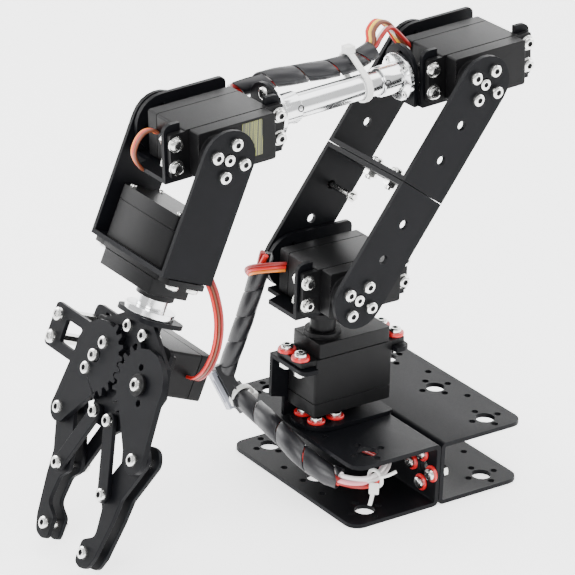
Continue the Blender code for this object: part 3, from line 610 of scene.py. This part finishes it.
def arm_bolts():
    """Bolts that join the two forks base to base."""
    for s, end in ((-1, "far"), (1, "near")):
        def draw(bm):
            x = FORK_MID + s * PCD_R
            top = -FORK_LEN + SHEET + 0.15
            cross_head(bm, on(UPPER_FORK, x, 0, top, "z"), HEAD_R, 2.0)
            nut(bm, on(UPPER_FORK, x, 0, -FORK_LEN - 0.45 - SHEET, "z", True), 5.4, 2.3)
        ob = piece("arm_joining_bolt_" + end + "_finish", "upper_arm", [STEEL, BLACK_AND_RECESS_SHADE], draw)
        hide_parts("arm_joining_bolt_" + end)

    def side(bm):
        pan_head(bm, on(LOWER_FORK, -44.1, 0, HOLE_LOW, flip=True), 2.85, 2.1)
        nut(bm, on(LOWER_FORK, -27.6, 0, HOLE_LOW), 5.0, 1.2)
    piece("arm_side_bolt_ends", "upper_arm", [STEEL, BLACK_AND_RECESS_SHADE], side)


def base_bracket_screws():
    """Screws with red washers that hold the base servo's bracket down."""
    def draw(bm):
        for s, t in ((-1, -1), (1, -1), (1, 1), (-1, 1)):
            at = (s * PATTERN, YAW.y + t * PATTERN, BACK_PLATE_Z + SHEET + 0.05)
            spot = on(BASE, *at, "z", False, 25 * s)
            washer(bm, spot, 3.9, 1.4, 1.1, 2)
            pan_head(bm, spot @ Matrix.Translation((0, 0, 1.1)), 2.7, 1.7)
    piece("base_bracket_screws", "base", [STEEL, BLACK_AND_RECESS_SHADE, RED], draw)


def forearm_screws():
    """Screws of the flanges and the end plates, and the set screws in the flanges' collars."""
    def flanges(bm):
        for local, y, outward in ((ELBOW_BRACKET, -22.75, True), (WRIST_BRACKET, 43.15, False)):
            for k in range(4):
                a = math.radians(45 + 90 * k)
                x, z = TUBE_X + FLANGE_PCD_R * math.cos(a), TUBE_Z + FLANGE_PCD_R * math.sin(a)
                pan_head(bm, on(local, x, y, z, "y", outward), 1.5, 0.7, 0.7)
    piece("flange_screws", "forearm", [STEEL, BLACK_AND_RECESS_SHADE], flanges)

    def plates(bm):
        pan_head(bm, on(WRIST_BRACKET, TUBE_X, 38.75, PLATE_HOLE, "y", True), 2.8, HEAD_H)
        pan_head(bm, on(ELBOW_BRACKET, TUBE_X, -18.35, PLATE_HOLE, "y"), 2.8, HEAD_H)
    piece("end_plate_screws", "forearm", [STEEL, BLACK_AND_RECESS_SHADE], plates)

    def set_screws(bm):
        r = SET_SCREW_R
        rim = [(1.5, r), (1.5, r + 0.36), (1.1, r + 0.4), (0.9, r + 0.05), (0, r + 0.05)]
        for local, y in ((ELBOW_BRACKET, -31.6), (WRIST_BRACKET, 52.2)):
            for turn in (78, 168):
                m = metres(local) @ Matrix.Translation((TUBE_X, y, TUBE_Z))
                m = m @ Matrix.Rotation(math.radians(turn), 4, "Y")
                # set screws drawn all in the near-black material
                lathe(bm, m, rim, 20, 1)
    piece("tube_set_screws", "forearm", [STEEL, BLACK_AND_RECESS_SHADE], set_screws)


def hand_screws():
    """Screws that hold the gripper on the hand, space its plates and carry the right gear."""
    def web(bm):
        across, down = WEB_HOLE
        for s in (-1, 1):
            pan_head(bm, on(HAND, s * across, down, -2.65, "z", True), 2.8, HEAD_H)
            nut(bm, on(HAND, s * across, down, 1.75, "z"), 5.4, 2.2)
    piece("hand_web_screws", "hand", [STEEL, BLACK_AND_RECESS_SHADE], web)

    def spacers(bm):
        x = -GEAR_X + SPACER_X
        for t in (-1, 1):
            y = GEAR_Y + t * 5
            pan_head(bm, on(HAND, x, y, -2.62, "z", True, 30 * t), 3.0, 2.3)
            nut(bm, on(HAND, x, y, 21.6, "z", False), 5.9, 2.5)
    piece("gripper_end_screws", "hand", [STEEL, BLACK_AND_RECESS_SHADE], spacers)

    def axle(bm):
        pan_head(bm, on(HAND, GEAR_X, GEAR_Y, -7.0, "z", True), 2.8, 1.7, 1.4)
    piece("right_gear_screw", "hand", [STEEL, BLACK_AND_RECESS_SHADE], axle)


def left_gear_screws():
    """Two horn screws and the centre screw of the driven gear."""
    def draw(bm):
        a = math.radians(HORN_TURN)
        for s in (-1, 1):
            x, y = -GEAR_X + s * HORN_HOLE_R * math.cos(a), GEAR_Y + s * HORN_HOLE_R * math.sin(a)
            pan_head(bm, on(HAND, x, y, GEAR_FACE - 0.05, "z", True, 40 * s), HEAD_R, HEAD_H)
        pan_head(bm, on(HAND, -GEAR_X, GEAR_Y, -6.6, "z", True), 2.7, 1.2, 1.3)
    piece("left_gear_screws", "left_finger", [STEEL, BLACK_AND_RECESS_SHADE], draw)


def roll_servo_screws():
    """Ear screws and bottom cover screws of the roll servo."""
    def ears(bm):
        for s in (-1, 1):
            for t in (-1, 1):
                at = (EAR_FACE + 0.05, MID + s * EAR_HOLE, t * EAR_ACROSS)
                pan_head(bm, on(ROLL_SERVO, *at, turn=33 * s), HEAD_R, HEAD_H)
    piece("roll_ear_screws", "wrist", [STEEL, BLACK_AND_RECESS_SHADE], ears)

    def cover(bm):
        inset, across = 3.0, 7.2
        for y in (-SHAFT + inset, CASE_L - SHAFT - inset):
            for z in (-across, across):
                spot = on(ROLL_SERVO, -CASE_H - 0.05, y, z, flip=True, turn=20 * z)
                pan_head(bm, spot, 1.35, 0.9, 0.8)
    piece("roll_cover_screws", "wrist", [STEEL, BLACK_AND_RECESS_SHADE], cover)


# ---------------------------------------------------------------- links and fingertips

def arc(cx, cy, r, a0, a1, n):
    return [(cx + r * math.cos(math.radians(a0 + (a1 - a0) * i / n)),
             cy + r * math.sin(math.radians(a0 + (a1 - a0) * i / n))) for i in range(n + 1)]


def link_outline(c0, c1, r):
    """Outline of a bar with round ends."""
    base = math.degrees(math.atan2(c1[1] - c0[1], c1[0] - c0[0]))
    return arc(c1[0], c1[1], r, base - 90, base + 90, 14) + arc(c0[0], c0[1], r, base + 90, base + 270, 14)


def rounded(points, radii, n=5):
    """Polygon with its corners rounded, each by its own radius."""
    out = []
    count = len(points)
    for i, (p, r) in enumerate(zip(points, radii)):
        p = Vector(p)
        a, b = Vector(points[i - 1]), Vector(points[(i + 1) % count])
        u, v = (a - p).normalized(), (b - p).normalized()
        if r == 0:
            out.append(tuple(p))
            continue
        half = math.acos(max(-1, min(1, u.dot(v)))) / 2
        reach = min(r / math.tan(half), (a - p).length * 0.49, (b - p).length * 0.49)
        start, end = p + u * reach, p + v * reach
        for k in range(n + 1):
            t = k / n
            out.append(tuple(start * (1 - t) ** 2 + p * 2 * t * (1 - t) + end * t * t))
    return out


def finger_points(side):
    """Gear centre, arm end, link base and link end of one finger."""
    a = math.radians(FINGER_DEG)
    dx, dy = side * FINGER * math.sin(a), FINGER * math.cos(a)
    base = (side * (GEAR_X - LINK_DX), GEAR_Y + LINK_DY)
    return (side * GEAR_X + dx, GEAR_Y + dy), base, (base[0] + dx, base[1] + dy)


def tip_outline(side, end, tip):
    """Fingertip plate: two pivots, a straight bar and the gripping head."""
    (ex, ey), (lx, ly), s = end, tip, side
    pts = [((ex + s * 6.2, ey - 1.0), 5), ((ex + s * 3.0, ey - 6.6), 5), ((ex - s * 4.4, ey - 6.0), 5),
           ((lx - s * 3.6, ly - 5.0), 3), ((lx - s * 5.2, ly + 1.6), 3), ((lx - s * 0.6, ly + 5.6), 4),
           ((lx + s * 1.0, ly + 17.6), 4), ((lx - s * 6.2, ly + 21.8), 3), ((lx - s * 6.2, ly + 31.4), 4),
           ((lx - s * 2.4, ly + 32.6), 4), ((lx + s * 2.6, ly + 31.6), 5), ((lx + s * 5.4, ly + 25.0), 4),
           ((lx + s * 8.2, ly + 8.0), 5), ((lx + s * 9.0, ly - 2.0), 4)]
    return rounded([p for p, _ in pts], [r for _, r in pts])


def soft_edges(ob, width):
    mod = ob.modifiers.new("soft_edges", "BEVEL")
    mod.width = width * MM
    mod.segments = 2
    mod.limit_method = "ANGLE"
    mod.angle_limit = math.radians(40)
    mod.harden_normals = True


def pivot(bm, centre, front, back, spacer=None):
    """Pivot screw with its nut, and a spacer between the plates where there is one."""
    x, y = centre
    pan_head(bm, on(HAND, x, y, front, "z", True, 17 * x), HEAD_R, HEAD_H)
    shank = 2.4 if spacer else 1.4
    lathe(bm, on(HAND, x, y, front, "z"), [(0, 0.1), (shank, 0.1), (shank, back - front - 0.1),
                                           (0, back - front - 0.1)], 20)
    nut(bm, on(HAND, x, y, back, "z", False, 9 * y), 5.2, 2.0)


def finger_parts():
    """Links and fingertips as bevelled plates with their screws."""
    for side, name in ((-1, "left"), (1, "right")):
        end, base, tip = finger_points(side)

        def bars(bm):
            for z0, z1 in ((GEAR_FACE, GEAR_FACE + SHEET), (5.6, 5.6 + SHEET)):
                prism(bm, metres(HAND), link_outline(base, tip, 3.3), z0, z1)
        link = piece(name + "_link_bars", name + "_link", [COAT], bars)
        soft_edges(link, 0.25)
        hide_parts(name + "_link")

        def link_pins(bm):
            pivot(bm, base, -5.42, 7.62)
            pivot(bm, tip, -5.42, 7.62)
        piece(name + "_link_screws", name + "_link", [STEEL, BLACK_AND_RECESS_SHADE], link_pins)

        def plates(bm):
            for z0, z1 in ((TIP_FACE, TIP_FACE + SHEET), (3.2, 3.2 + SHEET)):
                prism(bm, metres(HAND), tip_outline(side, end, tip), z0, z1)
        tips = piece(name + "_fingertip_plates", name + "_tip", [COAT], plates)
        soft_edges(tips, 0.25)
        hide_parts(name + "_fingertip")

        def tip_pins(bm):
            pivot(bm, end, -5.45, 5.22, True)
            pivot(bm, (tip[0] - side * 1.9, tip[1] + 26.0), -2.65, 5.22, True)
        piece(name + "_fingertip_screws", name + "_tip", [STEEL, BLACK_AND_RECESS_SHADE], tip_pins)


# ---------------------------------------------------------------- cables

FORE_LOOM = ((-38.2, -95, 6.0), (-37.9, -88, 6.3), (-35.5, -76, 7.2), (-33.0, -60, 6.8),
             (-31.5, -50, 6.4), (-31.5, -40.5, 6.3), (-31.5, -33, 7.6), (-31.5, -28, 9.6))
BASE_LOOM = ((-36.0, -51.5, 34.0), (-24.0, -51.2, 31.8), (-12.0, -51.0, 29.6), (3.0, -51.0, 27.0),
             (13.0, -50.2, 23.6), (23.0, -46.5, 19.2), (31.0, -42.0, 17.4))
WIRES = ["dark_red", "red", "brown", "white"]


def wrapped(name, body, line, radius, pitch, cover, wires):
    """Bundle of wires in a spiral wrap."""
    def draw(bm):
        spiral(bm, line, radius, pitch, cover)
        bundle(bm, line, radius - 0.9, len(wires), 1.3)
    mats = [WRAP] + [LEAD[w] for w in wires]
    return piece(name, body, mats, draw, 50)


def forearm_cables():
    """Loom held along the tube, its tie, and the hump of bare wires into the elbow servo."""
    line = [ELBOW_BRACKET @ p for p in smooth_line(FORE_LOOM, 2.0)]
    loom = wrapped("forearm_loom_wrap", "forearm", seam_shift(line), 4.1, 15.0, 0.95, WIRES)
    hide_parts("forearm_loom")
    tie = refined("forearm_cable_tie", 0.2, NYLON, "forearm", 40)
    tie.name = "forearm_cable_tie_band"

    start = line[-1]
    route = [start - Vector((0, 4, 1.2)), start + Vector((-0.5, -0.6, 3.4)), Vector((-15.5, -1.8, 196.4)),
             Vector((-16.5, 2.6, 199.4)), Vector((-17.5, 8.4, 196.6)), Vector((-16.5, 13.0, 190.0)),
             Vector((-14.0, 17.2, 184.6))]
    add_lead("elbow_servo_lead", "forearm", route, ["red", "yellow", "brown"], 0.95, (1, 0.3, 0.2))
    second = [start - Vector((-1.5, 4, 0.6)), start + Vector((1.6, 0.4, 2.2)), Vector((-12.0, 0.6, 194.2)),
              Vector((-13.2, 5.4, 197.0)), Vector((-15.0, 11.0, 193.6)), Vector((-13.0, 17.2, 186.6))]
    add_lead("elbow_servo_wires", "forearm", second, ["white", "dark_red"], 0.9, (1, 0.2, 0.4))


def add_lead(name, body, route, colours, radius, side, joint=None):
    """Servo lead: a flat cord of wires side by side."""
    bm = bmesh.new()
    line = ribbon(bm, route, colours, radius, side)
    ob = to_object(bm, name, [LEAD[c] for c in colours], None, 60)
    if joint:
        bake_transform(ob)
    else:
        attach(ob, body)
    return ob


def wrist_lead():
    """Lead that loops out of the end of the wrist servo and back under it."""
    y = WRIST.y - SHAFT
    route = [Vector((-10.5, y - 0.4, 173.4)), Vector((-11.0, y - 2.6, 174.8)),
             Vector((-11.2, y - 6.2, 174.4)), Vector((-11.4, y - 9.2, 171.2)),
             Vector((-11.4, y - 10.7, 166.4)),
             Vector((-11.2, y - 9.0, 161.6)), Vector((-11.0, y - 6.0, 158.8)),
             Vector((-11.0, y - 0.6, 157.9))]
    add_lead("wrist_servo_lead", "forearm", route, ["orange", "red", "brown"], 0.75, (1, 0, 0.15))


def gripper_lead():
    """Lead that hangs from the wrist to the gripper servo."""
    route = [Vector((20.5, -104.5, 119.0)), Vector((22.8, -103.2, 113.0)), Vector((25.0, -102.4, 104.0)),
             Vector((25.4, -102.6, 95.0)), Vector((23.6, -103.4, 86.0)), Vector((19.0, -104.0, 77.6)),
             Vector((12.0, -103.4, 71.6)), Vector((4.6, -101.8, 68.6))]
    start, end = world(*route[1]), world(*route[-2])
    add_lead("gripper_servo_lead", None, route, ["red", "brown", "dark_red"], 0.7, (0.5, 1, 0),
             ("wrist", "hand", start, end))


def shoulder_bundle():
    """Wrapped bundle that hangs from the shoulder servo to the connectors on the base."""
    route = [Vector((-21.0, -47.6, 103.0)), Vector((-24.0, -48.6, 93.0)), Vector((-25.8, -50.0, 84.0)),
             Vector((-28.4, -51.6, 73.0)), Vector((-31.4, -53.6, 60.0)), Vector((-34.6, -55.2, 49.0)),
             Vector((-37.6, -54.8, 41.5))]
    line = seam_shift(smooth_line(route, 2.0))
    bm = bmesh.new()
    spiral(bm, line, 3.9, 13.0, 0.985)
    bundle(bm, line, 2.9, 3, 1.0)
    mats = [WRAP, LEAD["black"], LEAD["red"], LEAD["dark_red"]]
    ob = to_object(bm, "shoulder_bundle", mats, None, 50)
    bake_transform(ob)
    loops = [Vector((-12.5, -43.2, 99.0)), Vector((-13.4, -46.4, 99.2)), Vector((-18.0, -50.8, 98.0)),
             Vector((-23.5, -53.0, 95.6)), Vector((-27.6, -51.6, 92.0)), Vector((-27.0, -48.6, 88.0)),
             Vector((-26.4, -48.2, 84.0))]
    add_lead("shoulder_servo_lead", "turret", loops, ["orange", "red", "dark_red"], 0.8, (0.1, 0.2, 1))


def connector(bm, centre, along, size, mat, up=(0, 0, 1)):
    """Rounded plastic connector with a raised rib and a row of contacts at its end."""
    t = Vector(along).normalized()
    u = Vector(up)
    u = (u - t * u.dot(t)).normalized()
    w = t.cross(u)
    m = Matrix((
        (t.x, w.x, u.x, centre[0]), (t.y, w.y, u.y, centre[1] + SEAM_Y), (t.z, w.z, u.z, centre[2]),
        (0, 0, 0, 1)))
    m = Matrix.Scale(MM, 4) @ m
    a, b, c = (s / 2 for s in size)
    body = rounded([(-a, -b), (a, -b), (a, b), (-a, b)], [0.6] * 4, 3)
    prism(bm, m, body, -c, c, mat)
    rib_x, rib_y = a * 0.6, b * 0.5
    corners = [(-rib_x, -rib_y), (rib_x, -rib_y), (rib_x, rib_y), (-rib_x, rib_y)]
    rib = rounded(corners, [0.4] * 4, 3)
    prism(bm, m, rib, c - 0.05, c + 0.45, mat)
    for k in (-1, 0, 1):
        slot = m @ Matrix.Translation((-a - 0.05, k * b * 0.55, 0))
        prism(bm, slot, [(-0.2, -0.5), (0.3, -0.5), (0.3, 0.5), (-0.2, 0.5)], -0.5, 0.5, 3)


def base_cables():
    """Connectors, the loom along the front plate, and the bare wires into the channel."""
    line = seam_shift(smooth_line(BASE_LOOM, 2.0))
    loom = wrapped("base_loom_wrap", "base", line, 4.6, 17.0, 0.96, WIRES)
    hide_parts("base_loom")

    def plugs(bm):
        connector(bm, (-34.8, -54.8, 37.5), (0.62, 0.3, -1), (20.0, 8.4, 5.8), 0, (-0.4, -1, 0.1))
        connector(bm, (-36.8, -57.4, 34.6), (0.62, 0.3, -1), (18.0, 7.8, 2.4), 1, (-0.4, -1, 0.1))
        connector(bm, (-29.6, -52.6, 33.2), (0.8, 0.2, -0.6), (12.0, 7.4, 5.0), 0, (0, -1, 0.2))
    piece("loom_connectors", "base", [WRAP, GREY_PLUG, BLACK_AND_RECESS_SHADE, STEEL], plugs, 40)

    def bare(bm):
        end = Vector(BASE_LOOM[-1])
        for k, (dy, dz) in enumerate(((0, 1.7), (-1.9, 0.2), (0.2, -1.6), (1.9, 0.1), (-1.0, -1.2))):
            o = Vector((0, dy, dz))
            route = [end + o * 0.9 - Vector((3, -1.4, -0.6)), end + o,
                     end + o * 1.15 + Vector((3.4, 6.2, -2.0)), end + o * 1.2 + Vector((4.0, 13.4, -3.0)),
                     end + o + Vector((1.0, 21.6, -2.2)), end + o * 0.9 + Vector((-6.0, 29.0, -1.4)),
                     end + o * 0.8 + Vector((-16, 32.4, -1.2 - 0.6 * k)),
                     end + o * 0.8 + Vector((-30, 33.2, -3.0 - 0.8 * k))]
            tube(bm, seam_shift(smooth_line(route, 1.6)), 1.0, 10, k)
    colours = ["white", "pink", "red", "white", "dark_red"]
    piece("base_bare_wires", "base", [LEAD[c] for c in colours], bare, 60)

    def tie(bm):
        centre = Vector((35.6, -26.6, 15.6))
        ring = [centre + Vector((3.7 * math.cos(a), 0.6 * math.cos(a), 3.7 * math.sin(a)))
                for a in [2 * math.pi * i / 40 for i in range(41)]]
        tube(bm, seam_shift(ring), 0.85, 8)
        connector(bm, tuple(centre + Vector((2.2, -2.2, -3.6))), (0.5, -0.4, -1), (4.6, 4.2, 3.2), 0)
        tail = [centre + Vector(p) for p in ((2.4, -2.6, -4), (3.6, -4.4, -7.0), (4.2, -5.6, -9.6))]
        tube(bm, seam_shift(smooth_line(tail, 1.0)), 0.9, 8)
        spur = [centre + Vector(p) for p in ((3.4, 0, 2), (5.6, 2.2, 3.2), (7.6, 5.2, 5.2))]
        tube(bm, seam_shift(smooth_line(spur, 1.0)), 0.8, 8)
    piece("base_wire_tie", "base", [NYLON] * 4, tie, 60)

    def loom_tie(bm):
        c = Vector(BASE_LOOM[0]) * 0.5 + Vector(BASE_LOOM[1]) * 0.5
        t = (Vector(BASE_LOOM[1]) - Vector(BASE_LOOM[0])).normalized()
        u = Vector((0, 0, 1))
        u = (u - t * u.dot(t)).normalized()
        w = t.cross(u)
        for half in (-0.7, 0, 0.7):
            ring = [c + t * half + (u * math.cos(a) + w * math.sin(a)) * 5.5
                    for a in [2 * math.pi * i / 40 for i in range(41)]]
            tube(bm, seam_shift(ring), 0.6, 8)
        connector(bm, tuple(c - w * 5.6 - u * 1.0), tuple(t), (4.0, 4.4, 3.6), 0, tuple(-w))
    piece("base_loom_tie", "base", [NYLON] * 4, loom_tie, 60)


def servo_labels():
    """Generic label on the wrist servo's upper case."""
    def draw(bm):
        m = metres(WRIST_BRACKET) @ Matrix.Translation((0.02, 17.4, 1.4)) @ TO_X
        out = rounded([(-4.8, -7.6), (4.8, -7.6), (4.8, 7.6), (-4.8, 7.6)], [0.6] * 4, 3)
        prism(bm, m, out, 0, 0.12)
    piece("wrist_servo_label", "forearm", [label_material()], draw)


# ---------------------------------------------------------------- stage, light and camera

def set_stage():
    floor_mat = textured("floor_paper", (0.97, 0.97, 0.97), 0.0, 0.6, 40, 0.05, 0.00002, 0.01)
    bsdf = floor_mat.node_tree.nodes["Principled BSDF"]
    bsdf.inputs["Emission Color"].default_value = (1, 1, 1, 1)
    bsdf.inputs["Emission Strength"].default_value = 1.5
    bm = bmesh.new()
    size, back, rise = 3.0, 1.2, 1.6
    rows = [(-size, 0), (back - 0.4, 0)]
    rows += [(back - 0.4 + 0.4 * math.sin(a), 0.4 - 0.4 * math.cos(a))
             for a in [math.pi / 2 * i / 10 for i in range(1, 11)]]
    rows += [(back, rise)]
    turn = Matrix.Rotation(math.radians(54), 4, "Z")
    loops = [[bm.verts.new(turn @ Vector((x, y, z))) for x in (-size, size)] for y, z in rows]
    for a, b in zip(loops, loops[1:]):
        bm.faces.new([a[0], a[1], b[1], b[0]])
    floor = to_object(bm, "floor", [floor_mat], None, 60)


def area(name, at, target, size, power):
    light = bpy.data.lights.new(name, "AREA")
    light.shape = "RECTANGLE"
    light.size, light.size_y = size
    light.energy = power
    ob = bpy.data.objects.new(name, light)
    bpy.context.scene.collection.objects.link(ob)
    ob.location = at
    ob.rotation_euler = (Vector(target) - Vector(at)).to_track_quat("-Z", "Y").to_euler()


def set_lights():
    world_data = bpy.data.worlds.new("studio")
    world_data.use_nodes = True
    back = world_data.node_tree.nodes["Background"]
    back.inputs["Color"].default_value = (1, 1, 1, 1)
    back.inputs["Strength"].default_value = 1.0
    bpy.context.scene.world = world_data
    aim = (0, -0.02, 0.1)
    area("overhead", (0.05, 0.1, 0.95), aim, (0.9, 0.9), 9)
    area("key", (0.55, -0.75, 0.55), aim, (0.5, 0.6), 9)
    area("side", (-0.75, -0.45, 0.45), aim, (0.5, 0.6), 7)
    area("rear", (0.35, 0.85, 0.5), aim, (0.6, 0.5), 6)


def set_camera():
    """Camera looking down on the gripper side from a good distance."""
    cam = bpy.data.cameras.new("camera")
    cam.sensor_width = 36.0
    cam.lens = 201.9
    cam.shift_x = -0.0268
    cam.shift_y = 0.0188
    cam.clip_end = 20
    ob = bpy.data.objects.new("camera", cam)
    bpy.context.scene.collection.objects.link(ob)
    right = Vector((0.576145, 0.816507, 0.037057)).normalized()
    back = Vector((0.737173, -0.538679, 0.407923)).normalized()
    up = back.cross(right)
    at = world(999.8, -773.1, 642.4)
    ob.matrix_world = Matrix(((right.x, up.x, back.x, at.x), (right.y, up.y, back.y, at.y),
                              (right.z, up.z, back.z, at.z), (0, 0, 0, 1)))
    bpy.context.scene.camera = ob


set_camera()
set_stage()
set_lights()
finish_cad_shapes()
horn("shoulder_horn_finish", "shoulder_horn", LOWER_FORK, "upper_arm")
horn("elbow_horn_finish", "elbow_horn", UPPER_FORK, "upper_arm")
horn("wrist_horn_finish", "wrist_horn", WRIST_FORK, "wrist")
ear_screws("base_ear_screws", YAW_SERVO, "base", grommet=True)
ear_screws("shoulder_ear_screws", SHOULDER_BRACKET, "turret")
ear_screws("elbow_ear_screws", ELBOW_BRACKET, "forearm")
ear_screws("wrist_ear_screws", WRIST_BRACKET, "forearm")
web_bolts()
arm_bolts()
base_bracket_screws()
forearm_screws()
hand_screws()
left_gear_screws()
roll_servo_screws()
finger_parts()
forearm_cables()
wrist_lead()
gripper_lead()
shoulder_bundle()
base_cables()
servo_labels()
